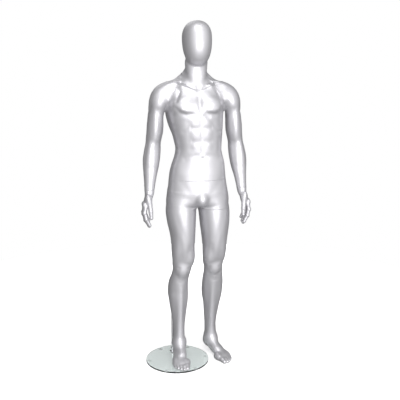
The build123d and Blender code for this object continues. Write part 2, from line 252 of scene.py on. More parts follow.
def tube(table, square=2.0, side=1, shift=0.0):
    """A limb through the level sections of a table."""
    heights = [row[0] for row in table]
    low, high = min(heights), max(heights)

    def field(x, y, z):
        dx = (x - shift) * side - curve(table, 1, z)
        dy = y - curve(table, 2, z)
        wide = curve(table, 3, z)
        deep = np.where(dy < 0, curve(table, 4, z), curve(table, 5, z))
        rho = np.sqrt(dx * dx + dy * dy) + 1e-6
        r = ((np.abs(dx) / wide) ** square + (np.abs(dy) / deep) ** square) ** (1 / square) + 1e-6
        end_gap = np.abs(z - (low + high) / 2) - (high - low) / 2
        return np.maximum(rho - rho / r, end_gap)

    reach = max(max(row[3:]) for row in table)
    xs = [row[1] * side + shift for row in table]
    ys = [row[2] for row in table]
    return field, ((min(xs) - reach, min(ys) - reach, low), (max(xs) + reach, max(ys) + reach, high))


def rod(start, end, r0, r1):
    """A tapered rod with round ends."""
    a, b = np.array(start, float), np.array(end, float)
    d = b - a
    length2 = (d * d).sum()

    def field(x, y, z):
        h = np.clip(((x - a[0]) * d[0] + (y - a[1]) * d[1] + (z - a[2]) * d[2]) / length2, 0, 1)
        px, py, pz = x - a[0] - h * d[0], y - a[1] - h * d[1], z - a[2] - h * d[2]
        return np.sqrt(px * px + py * py + pz * pz) - (r0 + (r1 - r0) * h)

    r = max(r0, r1)
    return field, (np.minimum(a, b) - r, np.maximum(a, b) + r)


def ball(centre, radii, turn=(0, 0, 0)):
    """An ellipsoid, turned about x, y and z in degrees."""
    c, r = np.array(centre, float), np.array(radii, float)
    turned = Matrix.Rotation(math.radians(turn[2]), 3, "Z") @ Matrix.Rotation(math.radians(turn[1]), 3, "Y")
    m = np.array((turned @ Matrix.Rotation(math.radians(turn[0]), 3, "X")).transposed())

    def field(x, y, z):
        dx, dy, dz = x - c[0], y - c[1], z - c[2]
        p = [(m[i, 0] * dx + m[i, 1] * dy + m[i, 2] * dz) for i in range(3)]
        k0 = np.sqrt(sum((p[i] / r[i]) ** 2 for i in range(3))) + 1e-6
        k1 = np.sqrt(sum((p[i] / r[i] ** 2) ** 2 for i in range(3))) + 1e-9
        return k0 * (k0 - 1) / k1

    reach = max(radii)
    return field, (c - reach, c + reach)


def above(parts, low):
    """The same masses, cut off below a height."""
    def cut(field):
        return lambda x, y, z: np.maximum(field(x, y, z), low - z)

    return [((cut(field), box), width) for (field, box), width in parts]


def bore(x, y, low, high, radius):
    """An upright hole, to be taken away from what comes before it."""
    def field(px, py, pz):
        return np.maximum(np.hypot(px - x, py - y) - radius, np.abs(pz - (low + high) / 2) - (high - low) / 2)

    return (field, ((x - radius, y - radius, low), (x + radius, y + radius, high))), None


def head():
    """A faceless egg, widest above the middle and narrow at the chin, which comes forward."""
    tilt = math.radians(12)
    centre_y, centre_z, crown, chin = 1, 1763, 86, 144

    def field(x, y, z):
        dy = (y - centre_y) * math.cos(tilt) - (z - centre_z) * math.sin(tilt)
        dz = (y - centre_y) * math.sin(tilt) + (z - centre_z) * math.cos(tilt)
        t = np.clip(dz / np.where(dz > 0, crown, chin), -1.3, 1.3)
        deep = np.where(dy < 0, 96 - 8 * fade(-t, 0.2, 1), 98 - 26 * fade(-t, 0, 0.9))
        power = np.where(t > 0, 2.3, 2.35)
        q = (np.abs(x) / 76) ** 2.2 + (np.abs(dy) / deep) ** 2.2
        r = (q ** (power / 2.2) + np.abs(t) ** power) ** (1 / power) + 1e-6
        rho = np.sqrt(x * x + dy * dy + dz * dz) + 1e-6
        return rho - rho / r

    return field, ((-90, -115, 1600), (90, 110, 1860))


# ---- the figure's masses: (field, box) and the width of its blend with what comes before it ------
def trunk_mass():
    return tube(TRUNK, 2.25), 0


def torso_side(s):
    """The seven masses on one side of the upper torso; s is +1 for the figure's left."""
    return [
        (ball((CHEST + s * 66, -58, 1428), (70, 51, 52), (0, s * 12, 0)), 16),  # chest muscle
        (ball((CHEST + s * 110, 44, 1378), (38, 58, 100), (0, s * 8, 0)), 26),  # side of the back
        (ball((CHEST + s * 66, 74, 1450), (64, 42, 84)), 22),  # shoulder blade
        (rod((s * 20 - 3, 46, 1594), (CHEST + s * 98, 28, 1529), 27, 25), 30),  # slope of the neck
        (rod((s * 15 - 4, -34, 1516), (s * 38 - 1, 14, 1640), 9, 13), 14),  # neck tendon
        (rod((CHEST + s * 20, -55, 1503), (CHEST + s * 72, -44, 1518), 8, 8), 22),  # collar bone
        (rod((CHEST + s * 72, -44, 1518), (CHEST + s * 114, -19, 1528), 8, 8), 24),
    ]


def torso_masses():
    return [trunk_mass()] + torso_side(1) + torso_side(-1) + [(tube(NECK, 2.1), 30), (head(), 9)]


def seat(side):
    """One buttock, shared by the pelvis and the top of the left leg."""
    return ball((4 + side * 76, 56, 932), (76, 70, 92), (0, side * 10, 0)), 34


def pelvis_masses():
    return [trunk_mass(), seat(1), seat(-1), (ball((13, -87, 933), (30, 28, 37)), 20)]


def leg_masses(table, side, foot):
    """Side is +1 for the figure's left leg; "out" is away from its midline."""
    def at(z, out, back):
        return float(curve(table, 1, z)) + side * out, float(curve(table, 2, z)) + back, z

    made = [(tube(table, 2.08), 24)]
    made.append((ball(at(745, -4, -36), (46, 46, 150), (3, 0, 0)), 22))  # front of the thigh
    made.append((ball(at(622, -24, -24), (29, 36, 62), (0, side * 10, 0)), 22))  # inner bulge over the knee
    made.append((ball(at(690, 30, -14), (28, 44, 110), (0, side * -6, 0)), 22))
    made.append((ball(at(534 if side < 0 else 545, 0, -37), (28, 17, 32)), 26))  # kneecap
    made.append((ball(at(400, -22, 28), (29, 36, 84), (0, side * 6, 0)), 16))  # two heads of the calf
    made.append((ball(at(416, 22, 26), (28, 35, 80), (0, side * -6, 0)), 16))
    made.append((rod(at(452, -4, -34), at(110, 0, -24), 16, 12), 24))  # shin
    made.append((rod(at(260, 0, 22), at(96, 0, 34), 16, 12), 16))  # heel tendon
    return made + foot_masses(side, foot)


def foot_place(side, foot):
    """A function from (towards the big toe, ahead, up) of the ankle's foot on the sole to a place."""
    ankle_x, ankle_y, turn, sole = foot
    c, s = math.cos(math.radians(turn)), math.sin(math.radians(turn))

    def at(across, ahead, up):
        x, y = across * -side, -ahead
        return ankle_x + x * c - y * s, ankle_y + x * s + y * c, sole + up

    return at


def foot_masses(side, foot):
    at = foot_place(side, foot)
    turn = (0, 0, foot[2])
    made = [
        (ball(at(0, -18, 54), (30, 37, 35), turn), 20),  # the heel stands raised
        (ball(at(0, 2, 80), (33, 41, 38), turn), 24),
        (rod(at(1, 12, 76), at(9, 82, 40), 30, 23), 22),  # instep
        (ball(at(-4, 60, 36), (35, 64, 23), (9, 0, foot[2])), 18),
        (ball(at(2, 126, 16), (45, 38, 21), turn), 14),  # ball of the foot
        (ball(at(30, 132, 20), (19, 28, 19), turn), 10),
        (ball(at(-34, 104, 17), (14, 40, 15), turn), 12),
        (ball(at(31, 4, 92), (9, 14, 17), turn), 10),  # ankle bones
        (ball(at(-31, -5, 80), (9, 13, 17), turn), 10),
    ]
    for stations, radii in TOES:
        for i, width in ((0, 11), (1, 6)):
            made.append((rod(at(*stations[i]), at(*stations[i + 1]), radii[i], radii[i + 1]), width))
    return made


def arm_masses(side, first=22):
    def at(out, y, z):
        return CHEST + side * out, y, z

    return [
        (tube(ARM, 2.1, side, CHEST), first),
        (ball(at(190, -2, 1442), (46, 53, 68), (0, side * -6, 0)), 18),  # shoulder muscle
        (ball(at(209, -13, 1322), (31, 33, 96), (0, side * -6, 0)), 22),  # front of the upper arm
        (ball(at(208, 36, 1352), (31, 28, 100), (0, side * -6, 0)), 20),  # back of the upper arm
        (ball(at(239, -4, 1146), (30, 33, 98), (4, side * -6, 0)), 20),  # forearm
        (ball(at(223, 11, 1146), (26, 31, 92), (0, side * -6, 0)), 20),
        (ball(at(226, 50, 1208), (14, 11, 22)), 14),  # elbow
    ]


def hand_masses(side):
    def at(place):
        return CHEST + side * place[0], place[1], place[2]

    made = [(tube(PALM, 2.3, side, CHEST), 0)]
    made.append((ball(at((256, -54, 932)), (15, 18, 36), (14, side * 10, 0)), 12))  # heel of the thumb
    made.append((ball(at((262, -9, 914)), (14, 16, 42), (-8, side * -14, 0)), 10))
    for stations, radii in FINGERS:
        out, y, z = stations[0]
        made.append((ball(at((out + 6, y, z + 4)), (9, 10, 15)), 8))  # knuckle
        for i in range(3):
            link = rod(at(stations[i]), at(stations[i + 1]), radii[i], radii[i + 1])
            made.append((link, 6 if i == 0 else 2.5))
        for (out, y, z), r in zip(stations[1:3], radii[1:3]):
            made.append((ball(at((out + 2, y, z)), (r + 0.6, r + 0.8, r + 2)), 3))
    stations, radii = THUMB
    for i in range(3):
        link = rod(at(stations[i]), at(stations[i + 1]), radii[i], radii[i + 1])
        made.append((link, 9 if i == 0 else 3))
    return made


# ---- from masses to points and faces -------------------------------------------------------------
def joined(value, here, width):
    """One more mass blended in; no width takes it away instead."""
    if width is None:
        return np.maximum(value, -here)
    return blend(value, here, width) if width else np.minimum(value, here)


def value_at(masses, x, y, z):
    """The blended field at any points."""
    value = None
    for (field, _), width in masses:
        here = field(x, y, z)
        value = here if value is None else joined(value, here, width)
    return value


def grid_values(masses, axes):
    """The blended field on a grid, each mass worked out only near itself."""
    far = 60.0
    values = np.full([len(g) for g in axes], far, np.float32)
    for (field, (low, high)), width in masses:
        room = (width or 0) + 14
        near = []
        for g, lowest, highest in zip(axes, low, high):
            first, last = np.searchsorted(g, (lowest - room, highest + room))
            near.append(slice(max(first - 1, 0), last + 1))
        gx, gy, gz = (g[cut] for g, cut in zip(axes, near))
        here = field(gx[:, None, None], gy[None, :, None], gz[None, None, :])
        values[tuple(near)] = joined(values[tuple(near)], here, width)
    return values


def surface_nets(values, axes):
    """One vertex in each cell that the surface crosses, and one quad round each edge that it crosses."""
    inside = values < 0
    count = np.zeros([n - 1 for n in values.shape], np.int8)
    corners = [(i, j, k) for i in (0, 1) for j in (0, 1) for k in (0, 1)]
    for corner in corners:
        count += inside[tuple(slice(c, n - 1 + c) for c, n in zip(corner, values.shape))]
    cells = np.argwhere((count > 0) & (count < 8))
    index = np.full(count.shape, -1, np.int64)
    index[tuple(cells.T)] = np.arange(len(cells))
    total, weight = np.zeros((len(cells), 3)), np.zeros(len(cells))
    for corner in corners:
        for axis in range(3):
            if corner[axis]:
                continue
            other = list(corner)
            other[axis] = 1
            va, vb = values[tuple((cells + corner).T)], values[tuple((cells + other).T)]
            crossed = (va < 0) != (vb < 0)
            place = np.repeat(np.array(corner, float)[None], len(cells), 0)
            place[:, axis] = va / np.where(crossed, va - vb, 1)
            total += place * crossed[:, None]
            weight += crossed
    local = total / weight[:, None]
    points = np.empty_like(local)
    for axis, g in enumerate(axes):
        cell = cells[:, axis]
        points[:, axis] = g[cell] + local[:, axis] * (g[cell + 1] - g[cell])
    quads = []
    for axis in range(3):
        u, v = (axis + 1) % 3, (axis + 2) % 3
        lower, upper = [slice(None)] * 3, [slice(None)] * 3
        lower[axis], upper[axis] = slice(None, -1), slice(1, None)
        a, b = inside[tuple(lower)], inside[tuple(upper)]
        edges = np.argwhere(a != b)
        keep = np.ones(len(edges), bool)
        for w in (u, v):
            keep &= (edges[:, w] > 0) & (edges[:, w] < values.shape[w] - 1)
        edges = edges[keep]
        ring = []
        for du, dv in ((0, 0), (1, 0), (1, 1), (0, 1)):
            cell = edges.copy()
            cell[:, u] -= du
            cell[:, v] -= dv
            ring.append(index[tuple(cell.T)])
        ring = np.stack(ring, 1)
        flip = b[tuple(edges.T)]
        ring[flip] = ring[flip][:, ::-1]
        quads.append(ring)
    return points, np.concatenate(quads)


def settle(masses, points, rounds=2):
    """Moves points onto the surface, and gives the normals there."""
    gap = 0.6
    for turn in range(rounds + 1):
        x, y, z = points.T
        slope = np.stack([
            value_at(masses, x + gap, y, z) - value_at(masses, x - gap, y, z),
            value_at(masses, x, y + gap, z) - value_at(masses, x, y - gap, z),
            value_at(masses, x, y, z + gap) - value_at(masses, x, y, z - gap),
        ], 1) / (2 * gap)
        size2 = (slope ** 2).sum(1) + 1e-9
        if turn == rounds:
            break
        move = np.clip(-value_at(masses, x, y, z) / size2, -2, 2)
        points = points + slope * move[:, None]
    return points, slope / np.sqrt(size2)[:, None]


def skin(masses, low, high, step, relief, sole=None):
    """Points and quads of the blended masses inside a box, with relief raised from them and a flat sole."""
    axes = [np.arange(low[i], high[i] + step, step) for i in range(3)]
    values = grid_values(masses, axes)
    points, quads = surface_nets(values, axes)
    points, normals = settle(masses, points)
    points = points + normals * relief(points, normals)[:, None]
    if sole is not None:
        points[:, 2] = np.maximum(points[:, 2], sole)
    return points, quads


# ---- relief --------------------------------------------------------------------------------------
FRONT, BACK = (0, -1, 0), (0, 1, 0)
SHALLOW, SOFT = 0.95, 1.2  # the muscle strokes are laid in at this share of their depth, and this much wider


def stroke(points, normals, facing, path, rise, width, taper=0.18):
    """A ridge, or a groove for a negative rise, along a path of (sideways, height) seen from one side."""
    across = 0 if facing[1] else 1
    u, z = points[:, across], points[:, 2]
    place = np.array(path, float)
    reach = 2.6 * width
    near = (z > place[:, 1].min() - reach) & (z < place[:, 1].max() + reach)
    near &= (u > place[:, 0].min() - reach) & (u < place[:, 0].max() + reach)
    near &= normals @ np.array(facing, float) > 0
    out = np.zeros(len(points))
    if not near.any():
        return out
    lengths = np.hypot(*np.diff(place, axis=0).T)
    starts = np.concatenate([[0], np.cumsum(lengths)])
    best = np.full(near.sum(), 1e9)
    along = np.zeros(near.sum())
    for (u0, z0), (u1, z1), length, start in zip(place, place[1:], lengths, starts):
        du, dz = (u1 - u0) / length, (z1 - z0) / length
        t = np.clip((u[near] - u0) * du + (z[near] - z0) * dz, 0, length)
        gap = np.hypot(u[near] - u0 - t * du, z[near] - z0 - t * dz)
        closer = gap < best
        best = np.where(closer, gap, best)
        along = np.where(closer, start + t, along)
    share = along / starts[-1]
    ends = fade(share, -0.02, taper) * fade(1 - share, -0.02, taper) if taper else 1.0
    facing_us = np.clip((normals[near] @ np.array(facing, float)) * 1.8, 0, 1)
    out[near] = rise * np.exp(-((best / width) ** 2)) * facing_us * ends
    return out


def muscle(points, normals, facing, path, rise, width):
    """A stroke of the muscle relief."""
    return stroke(points, normals, facing, path, rise * SHALLOW, width * SOFT)


def mound(points, centre, radii, rise):
    """A soft rise, or a dimple, round a place."""
    q = (((points - np.array(centre, float)) / np.array(radii, float)) ** 2).sum(1)
    return rise * np.exp(-q)


# the middle of the front of the trunk: height, sideways
FRONT_LINE = [(1509, -2), (1450, -3), (1390, 2), (1300, 7), (1200, 12), (1155, 14), (1100, 11), (1036, 7),
              (920, 4)]
# strokes on both sides of the trunk: path of (out from the middle line, height), rise, width
FRONT_STROKES = [
    ([(10, 1508), (50, 1523), (100, 1541)], -5, 5.5),  # over the collar bone
    ([(92, 1508), (108, 1474), (124, 1436)], -4.5, 7),  # between shoulder and chest
    ([(5, 1392), (38, 1384), (74, 1381), (106, 1392), (130, 1418), (138, 1436)], -3.2, 10),  # under the chest
    ([(30, 1404), (74, 1400), (108, 1410)], 2.5, 10),
    ([(7, 1376), (56, 1368)], -1.5, 7),  # across the belly
    ([(5, 1313), (30, 1309), (64, 1316)], -2, 12),
    ([(5, 1243), (30, 1239), (60, 1246)], -1.6, 12),
    ([(66, 1366), (66, 1300), (62, 1230), (58, 1180)], -1.5, 13),  # edge of the belly
    ([(16, 1380), (44, 1358), (80, 1318), (104, 1275)], -1.8, 11),  # arch of the ribs
    ([(0, 1164), (40, 1166), (72, 1160), (108, 1146)], -2.2, 13),  # crease over the hips
    ([(124, 1068), (104, 1030), (66, 978), (42, 946)], -1, 14),  # groin line
]
BELLY_MOUNDS = [(33, 1344, 1.2), (32, 1277, 1.3), (31, 1210, 1.1)]
BACK_STROKES = [
    ([(34, 1492), (78, 1478), (104, 1462)], -1.6, 10),  # spine of the shoulder blade
    ([(32, 1480), (44, 1420), (72, 1382)], -1.8, 11),  # inner edge of the blade
    ([(72, 1382), (104, 1368), (138, 1372)], -1.4, 12),
    ([(132, 1330), (96, 1240), (52, 1160), (22, 1100)], -1.5, 14),  # lower edge of the broad back muscle
    ([(60, 1120), (96, 1070), (140, 1060)], -1.3, 15),
]


def trunk_relief(points, normals):
    middle = np.interp(points[:, 2], *zip(*sorted(FRONT_LINE)))
    straight = points.copy()
    straight[:, 0] -= middle
    total = np.zeros(len(points))
    for s in (1, -1):
        for path, rise, width in FRONT_STROKES:
            total += muscle(straight, normals, FRONT, [(s * out, z) for out, z in path], rise, width)
        for out, z, rise in BELLY_MOUNDS:
            total += mound(straight, (s * out, -98, z), (24, 40, 26), rise)
        for step, z in enumerate((1338, 1306, 1274)):  # the toothed muscle over the ribs
            total += mound(points, (CHEST + s * (134 - 4 * step), -52 - 4 * step, z), (20, 22, 12), 2)
        total += mound(points, (4 + s * 118, -34, 1118), (30, 56, 42), 5)  # flank
        for path, rise, width in BACK_STROKES:
            placed = [(s * out + (CHEST if z > 1250 else 0), z) for out, z in path]
            total += muscle(points, normals, BACK, placed, rise, width)
        total += mound(points, (CHEST * 0.4 + s * 30, 92, 1190), (20, 40, 120), 4)  # beside the spine
        total += mound(points, (s * 40, 98, 1052), (14, 20, 14), -2)  # dimple over the pelvis
        fold = [(s * 14, 866), (s * 60, 856), (s * 118, 868)]  # under the seat
        total += stroke(points, normals, BACK, fold, -3, 14)
    total += stroke(straight, normals, FRONT, [(0, 1478), (0, 1440), (0, 1392)], -4, 12, 0.1)
    total += stroke(straight, normals, FRONT, [(0, 1376), (0, 1168)], -2.4, 10, 0.08)
    total += mound(straight, (0, -58, 1512), (15, 30, 15), -5)  # notch at the foot of the throat
    total += mound(straight, (0, -98, 1155), (8, 30, 9), -4)  # navel
    spine = [(CHEST, 1530), (CHEST, 1380), (-2, 1220), (2, 1075)]
    total += stroke(points, normals, BACK, spine, -3.5, 16, 0.1)
    seat_cleft = [(3, 1012), (3, 960), (3, 905), (3, 872)]
    total += stroke(points, normals, BACK, seat_cleft, -10, 14, 0.2)
    return total


def leg_relief(table, side, foot):
    """Strokes along one leg, placed out from its own axis."""
    front = [
        ([(52, 900), (24, 800), (-18, 690), (-44, 600)], -1, 12),
        ([(26, 800), (25, 700), (16, 600)], -0.8, 11),
        ([(-30, 700), (-20, 640), (-12, 585)], -1.2, 10),
        ([(-26, 560), (-31, 528), (-24, 498)], -2, 8),
        ([(26, 562), (30, 530), (24, 498)], -2, 8),
        ([(0, 492), (0, 464)], 2, 8),
        ([(-10, 450), (-12, 350), (-6, 200)], 1.2, 8),
        ([(8, 440), (8, 340), (10, 200)], -0.8, 10),
    ]
    back = [
        ([(0, 470), (0, 400), (0, 345)], -3, 7),
        ([(-34, 356), (-10, 330), (0, 320)], -2.4, 9),
        ([(34, 372), (12, 338), (2, 322)], -2.4, 9),
        ([(-16, 250), (-16, 170), (-18, 120)], -3, 7),
        ([(16, 250), (16, 170), (18, 120)], -3, 7),
        ([(0, 830), (-2, 700), (-4, 600)], -2.5, 11),
        ([(-22, 600), (-26, 545), (-18, 500)], 2.2, 8),
        ([(22, 600), (26, 545), (18, 500)], 2.2, 8),
    ]
    at = foot_place(side, foot)

    def relief(points, normals):
        straight = points.copy()
        straight[:, 0] = (points[:, 0] - curve(table, 1, points[:, 2])) * side
        faced = normals * (side, 1, 1)
        total = np.zeros(len(points))
        for facing, strokes in ((FRONT, front), (BACK, back)):
            for path, rise, width in strokes:
                total += muscle(straight, faced, facing, path, rise, width)
        for stations, radii in TOES:
            across, ahead, up = stations[2]
            nail = at(across, ahead + radii[2] * 0.35, up + radii[2] * 0.8)
            total += nail_mark(points, nail, radii[2] * 0.62)
            joint_place = at(stations[1][0], stations[1][1], stations[1][2] + radii[1])
            total += mound(points, joint_place, (6, 6, 5), 0.8)
        for across in (24, 8, -6, -20):  # tendons fanning over the instep
            total += mound(points, at(across * 0.8, 104, 44 - abs(across - 10) * 0.3), (4, 26, 20), 1.2)
        return total

    return relief


def nail_mark(points, centre, radius):
    """A nail: a low plate with a fine groove round it."""
    gap = np.sqrt(((points - np.array(centre, float)) ** 2).sum(1)) / radius
    return 0.35 * fade(1.15 - gap, 0, 0.3) - 0.8 * np.exp(-(((gap - 1.25) / 0.22) ** 2))


def arm_relief(side):
    front = [
        ([(206, 1425), (199, 1380), (190, 1330), (196, 1270)], -1.4, 9),
        ([(228, 1425), (233, 1370), (234, 1300), (228, 1250)], -1.4, 9),
        ([(196, 1232), (222, 1224), (244, 1236)], -1, 12),
        ([(222, 1222), (232, 1160), (240, 1070)], -1.2, 9),
    ]
    back = [
        ([(196, 1432), (214, 1398), (236, 1440)], -2.4, 8),
        ([(212, 1400), (213, 1330), (217, 1262)], -2.4, 7),
        ([(214, 1200), (226, 1150), (238, 1060)], -2, 6),
    ]
    outer = [
        ([(-34, 1440), (-12, 1392), (8, 1380), (28, 1396), (44, 1440)], -3, 8),
        ([(8, 1372), (10, 1310), (12, 1262)], -2, 8),
        ([(-8, 1250), (-20, 1190), (-24, 1100)], -2, 7),
        ([(22, 1190), (12, 1130), (-4, 1060)], -1.6, 6),
        ([(-6, 1012), (-2, 1004)], 3, 8),
    ]

    def relief(points, normals):
        straight = points.copy()
        straight[:, 0] = (points[:, 0] - CHEST) * side
        faced = normals * (side, 1, 1)
        total = np.zeros(len(points))
        for facing, strokes in ((FRONT, front), (BACK, back), ((1, 0, 0), outer)):
            for path, rise, width in strokes:
                total += muscle(straight, faced, facing, path, rise, width)
        return total

    return relief


def hand_relief(side):
    def relief(points, normals):
        straight = points.copy()
        straight[:, 0] = (points[:, 0] - CHEST) * side
        faced = normals * (side, 1, 1)
        total = np.zeros(len(points))
        for stations, radii in FINGERS:
            (_, y0, z0), (out, y, z), r = stations[0], stations[3], radii[3]
            total += nail_mark(straight, (out + r * 0.85, y, z - r * 0.1), r * 0.7)
            total += stroke(straight, faced, (1, 0, 0), [(y0, z0), (y0 * 0.6 - 12, 950)], 1.4, 3.5)
            for (out, y, z), r in zip(stations[1:3], radii[1:3]):
                for lift in (-2.6, 0, 2.6):
                    crease = [(y - 6, z + lift), (y + 6, z + lift)]
                    total += stroke(straight, faced, (1, 0, 0), crease, -0.5, 0.9)
        (out, y, z), r = THUMB[0][3], THUMB[1][3]
        total += nail_mark(straight, (out + 2, y - r * 0.85, z - r * 0.1), r * 0.7)
        for path in ([(-60, 915), (-30, 900), (-10, 905)], [(-58, 935), (-36, 912), (-30, 890)]):
            total += stroke(straight, faced, (-1, 0, 0), path, -1.2, 2.4)
        return total

    return relief


# ---- meshes --------------------------------------------------------------------------------------
def to_bmesh(points, quads):
    """The points and quads as a mesh that can be cut."""
    mesh = bpy.data.meshes.new("raw")
    mesh.vertices.add(len(points))
    mesh.vertices.foreach_set("co", points.astype(np.float32).ravel())
    mesh.loops.add(4 * len(quads))
    mesh.loops.foreach_set("vertex_index", quads.astype(np.int32).ravel())
    mesh.polygons.add(len(quads))
    mesh.polygons.foreach_set("loop_start", np.arange(0, 4 * len(quads), 4, dtype=np.int32))
    mesh.update(calc_edges=True)
    bm = bmesh.new()
    bm.from_mesh(mesh)
    bpy.data.meshes.remove(mesh)
    return bm


def cut(bm, place, normal, profile, region=None):
    """Cuts away what lies beyond a plane, eases the edge, and closes the end with a stepped pocket.

    The profile is a list of (radius, depth) for the pocket that the fitting's plate sits in.
    """
    place, normal = Vector(place), Vector(normal).normalized()

    def chosen():
        picked = {v for v in bm.verts if region is None or region(v.co)}
        edges = [e for e in bm.edges if all(v in picked for v in e.verts)]
        return list(picked) + edges + [f for f in bm.faces if all(v in picked for v in f.verts)]

    ease_in, ease_down = 0.8, 1.5
    bmesh.ops.bisect_plane(bm, geom=chosen(), dist=1e-4, plane_co=place - normal * ease_down, plane_no=normal)
    done = bmesh.ops.bisect_plane(bm, geom=chosen(), dist=1e-4, plane_co=place, plane_no=normal,
                                  clear_outer=True)
    edges = [e for e in done["geom_cut"] if isinstance(e, bmesh.types.BMEdge)]
    rim = [e for e in edges if e.is_valid and e.is_boundary]
    side_way = normal.orthogonal().normalized()
    up_way = normal.cross(side_way)
    ring = {v for e in rim for v in e.verts}

    def angle(v):
        return math.atan2((v.co - place).dot(up_way), (v.co - place).dot(side_way))

    for v in ring:
        flat = v.co - place
        flat -= normal * flat.dot(normal)
        v.co = place + flat * max(1 - ease_in / max(flat.length, 1e-6), 0)
    circles = []
    for radius, depth in profile:
        circle = {}
        for v in ring:
            a = angle(v)
            way = side_way * math.cos(a) + up_way * math.sin(a)
            circle[v] = bm.verts.new(place - normal * depth + way * radius)
        circles.append(circle)
    centre = bm.verts.new(place - normal * profile[-1][1])
    for e in rim:
        e.smooth = False
        loop = e.link_loops[0]
        a, b = loop.vert, loop.link_loop_next.vert
        inner_a, inner_b = a, b
        for circle in circles:
            face = bm.faces.new((inner_b, inner_a, circle[a], circle[b]))
            face.smooth = False
            inner_a, inner_b = circle[a], circle[b]
        bm.faces.new((inner_b, inner_a, centre)).smooth = False
    return bm


PLATE_ROOM = 0.2  # round a fitting's plate
PLATE_POCKET = 3.1  # deep enough for a plate
BAR_POCKET, BAR_SHARE = 12, 0.65  # the deeper pocket for the cross bar, and its width against the plate's


def spigot_profile(name):
    """The pocket round a spigot's plate, which is as wide as its socket's."""
    low, high, _ = span(f"{name}_socket_plate")
    plate = (high[1] - low[1]) / 2 + PLATE_ROOM
    return [(plate, 0), (plate, PLATE_POCKET)]


def socket_profile(name):
    """The pocket round a socket plate, and the room for the cross bar under it."""
    pocket = spigot_profile(name)
    bar = pocket[0][0] * BAR_SHARE
    return pocket + [(bar, PLATE_POCKET), (bar, BAR_POCKET)]


def finish_piece(name, bm, body, stands_for, paint):
    """Makes the object, in metres of the row frame, and ties it to the frame."""
    for v in bm.verts:
        v.co = (v.co + Vector((MIDLINE, 0, 0))) * MM
    mesh = bpy.data.meshes.new(name)
    bm.to_mesh(mesh)
    bm.free()
    piece = bpy.data.objects.new(name, mesh)
    bpy.context.scene.collection.objects.link(piece)
    mesh.materials.append(paint)
    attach(piece, body)
    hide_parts(stands_for)
    return piece


# ---- materials -----------------------------------------------------------------------------------
def new_material(name, **sockets):
    """A Principled material with its sockets set, and its nodes and links ready to add to."""
    material = bpy.data.materials.new(name)
    material.use_nodes = True
    tree = material.node_tree
    shader = tree.nodes["Principled BSDF"]
    for key, value in sockets.items():
        shader.inputs[key.replace("_", " ")].default_value = value
    return material, tree, shader


def noise(tree, scale, detail=3.0, rough=0.5, stretch=None):
    """Noise in object space, so that it stays on the piece as it moves."""
    where = tree.nodes.new("ShaderNodeTexCoord")
    texture = tree.nodes.new("ShaderNodeTexNoise")
    texture.inputs["Scale"].default_value = scale
    texture.inputs["Detail"].default_value = detail
    texture.inputs["Roughness"].default_value = rough
    if stretch:
        mapping = tree.nodes.new("ShaderNodeMapping")
        mapping.inputs["Scale"].default_value = stretch
        tree.links.new(where.outputs["Object"], mapping.inputs["Vector"])
        tree.links.new(mapping.outputs["Vector"], texture.inputs["Vector"])
    else:
        tree.links.new(where.outputs["Object"], texture.inputs["Vector"])
    return texture.outputs["Fac"]


def spread(tree, source, low, high, start=0.3, end=0.7):
    """Maps a texture value onto a range."""
    mapped = tree.nodes.new("ShaderNodeMapRange")
    mapped.inputs["From Min"].default_value = start
    mapped.inputs["From Max"].default_value = end
    mapped.inputs["To Min"].default_value = low
    mapped.inputs["To Max"].default_value = high
    tree.links.new(source, mapped.inputs["Value"])
    return mapped.outputs["Result"]


def tint(tree, source, dark, light):
    """A colour between two, led by a value."""
    mix = tree.nodes.new("ShaderNodeMix")
    mix.data_type = "RGBA"
    mix.inputs["A"].default_value = dark
    mix.inputs["B"].default_value = light
    tree.links.new(source, mix.inputs["Factor"])
    return mix.outputs["Result"]


def bump(tree, shader, source, strength, distance):
    node = tree.nodes.new("ShaderNodeBump")
    node.inputs["Strength"].default_value = strength
    node.inputs["Distance"].default_value = distance
    tree.links.new(source, node.inputs["Height"])
    tree.links.new(node.outputs["Normal"], shader.inputs["Normal"])


def silver_paint():
    """Satin silver paint: fine flake, a faint drift in tone, and a slight spray texture."""
    material, tree, shader = new_material("silver_paint", Metallic=0.6, Roughness=0.42, Coat_Weight=0.2,
                                          Coat_Roughness=0.25)
    drift = spread(tree, noise(tree, 5.0, 2.0), 0.0, 1.0)
    tone = tint(tree, drift, (0.54, 0.535, 0.56, 1), (0.60, 0.595, 0.62, 1))
    tree.links.new(tone, shader.inputs["Base Color"])
    flake = noise(tree, 1400.0, 1.0, 0.4)
    tree.links.new(spread(tree, flake, 0.37, 0.47), shader.inputs["Roughness"])
    bump(tree, shader, noise(tree, 420.0, 3.0, 0.6), 0.10, 0.0004)
    return material


def clear_glass():
    """Tempered glass with a faint green tone and a slight waviness."""
    material, tree, shader = new_material("glass", Roughness=0.03, IOR=1.5, Transmission_Weight=1.0)
    tone = tint(tree, spread(tree, noise(tree, 9.0), 0, 1), (0.80, 0.85, 0.84, 1), (0.83, 0.875, 0.865, 1))
    tree.links.new(tone, shader.inputs["Base Color"])
    bump(tree, shader, noise(tree, 14.0, 1.0), 0.04, 0.001)
    return material


def metal(name, dark, light, low, high, scale, stretch=None, strength=0.08):
    """Plated or turned metal: tone, roughness and bump from one grain."""
    material, tree, shader = new_material(name, Metallic=1.0)
    grain = noise(tree, scale, 4.0, 0.6, stretch)
    tree.links.new(tint(tree, spread(tree, grain, 0, 1), dark, light), shader.inputs["Base Color"])
    tree.links.new(spread(tree, grain, low, high), shader.inputs["Roughness"])
    bump(tree, shader, grain, strength, 0.0003)
    return material


